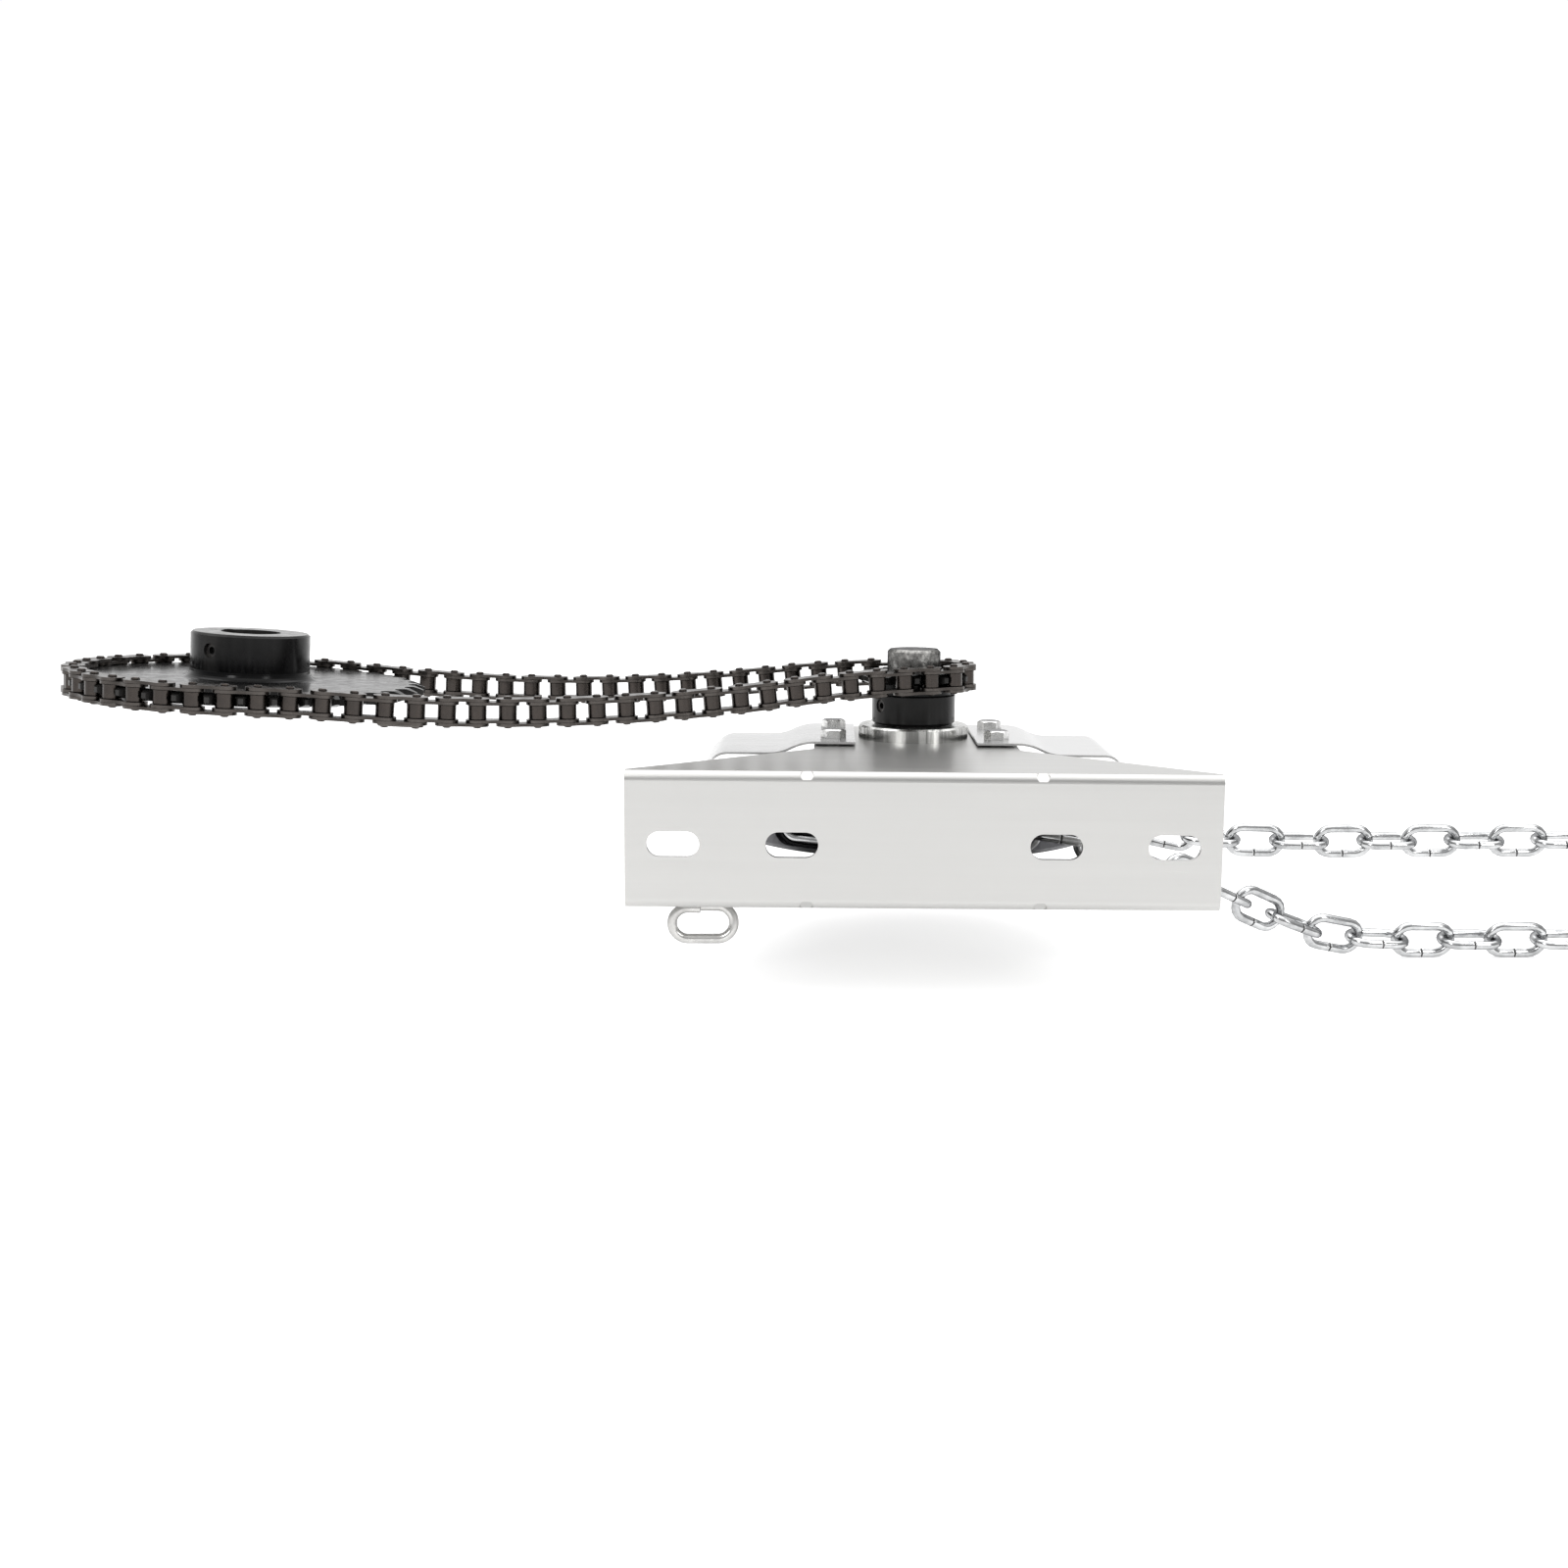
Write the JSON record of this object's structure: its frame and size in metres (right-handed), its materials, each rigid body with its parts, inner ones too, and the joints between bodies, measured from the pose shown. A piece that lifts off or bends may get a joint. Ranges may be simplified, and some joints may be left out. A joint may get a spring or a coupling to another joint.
{
  "type": "garage door opener",
  "caption": "Hand chain hoist for a sectional garage door: wall bracket, pocket wheel, chain guides and a roller chain drive to a door shaft sprocket.",
  "frame": {"origin": "centre of the wall plate's outer face, which lies against the wall", "axes": "+X along the wall plate away from the door sprocket, +Y away from the wall, +Z along the hoist shaft towards the roller chain"},
  "size_m": [1.0094, 0.3301, 0.1474],
  "materials": {
    "bracket": "brushed stainless sheet",
    "guide": "bright rolled sheet",
    "turned_steel": "turned and faceted bright",
    "bushing_bronze": "sintered bronze",
    "fastener_zinc": "bright zinc plated",
    "screw_black": "black oxide",
    "shaft_zinc": "zinc plated bar",
    "wheel_iron": "dark cast iron",
    "sprocket_black": "gloss black paint",
    "chain_dark": "oiled dark steel",
    "chain_roller": "oiled steel",
    "chain_joint": "spring steel",
    "hand_chain_zinc": "bright zinc plated wire"
  },
  "bodies": {
    "root": {"wall_bracket": "bracket", "upper_bearing_flange": "turned_steel", "lower_bearing_flange": "turned_steel", "upper_bearing_bush": "bushing_bronze", "lower_bearing_bush": "bushing_bronze", "chain_guide_left": "guide", "chain_guide_right": "guide", "guide_bolts": "fastener_zinc", "guide_nuts": "fastener_zinc", "guide_washers": "fastener_zinc", "keeper_loop": "turned_steel", "keeper_loop_weld": "turned_steel", "roller_chain_inner_plates": "chain_dark", "roller_chain_outer_plates": "chain_dark", "roller_chain_bushings": "chain_roller", "roller_chain_rollers": "chain_roller", "roller_chain_pins": "chain_roller", "roller_chain_joining_pins": "chain_roller", "roller_chain_joining_plates": "chain_dark", "roller_chain_spring_clip": "chain_joint", "hand_chain_pocket_links": "hand_chain_zinc", "hand_chain_groove_links": "hand_chain_zinc", "hand_chain_near_strand": "hand_chain_zinc", "hand_chain_far_strand": "hand_chain_zinc", "hand_chain_coil": "hand_chain_zinc"},
    "drive": {"drive_shaft": "shaft_zinc", "hand_chain_wheel": "wheel_iron", "wheel_key": "turned_steel", "wheel_set_screw": "screw_black", "drive_sprocket": "sprocket_black", "drive_sprocket_key": "turned_steel", "drive_set_screws": "screw_black", "thrust_washers": "fastener_zinc", "shaft_retaining_ring": "screw_black"},
    "door_sprocket": {"door_sprocket": "sprocket_black", "door_set_screws": "screw_black"}
  },
  "joints": [
    {"name": "drive_spin", "type": "hinge", "parent": "root", "child": "drive", "pos_m": [0, 0.121, 0], "axis": [0, 0, 1], "continuous": true, "deforming": ["roller_chain_inner_plates", "roller_chain_outer_plates", "roller_chain_bushings", "roller_chain_rollers", "roller_chain_pins", "roller_chain_joining_pins", "roller_chain_joining_plates", "roller_chain_spring_clip", "hand_chain_pocket_links", "hand_chain_groove_links"]},
    {"name": "door_sprocket_spin", "type": "hinge", "parent": "root", "child": "door_sprocket", "pos_m": [-0.2983, 0.08754, 0.05397], "axis": [0.052, 0.0058, 0.9986], "continuous": true}
  ],
  "couplings": [
    {"joint": "door_sprocket_spin", "follows": "drive_spin", "ratio": 0.33333}
  ]
}
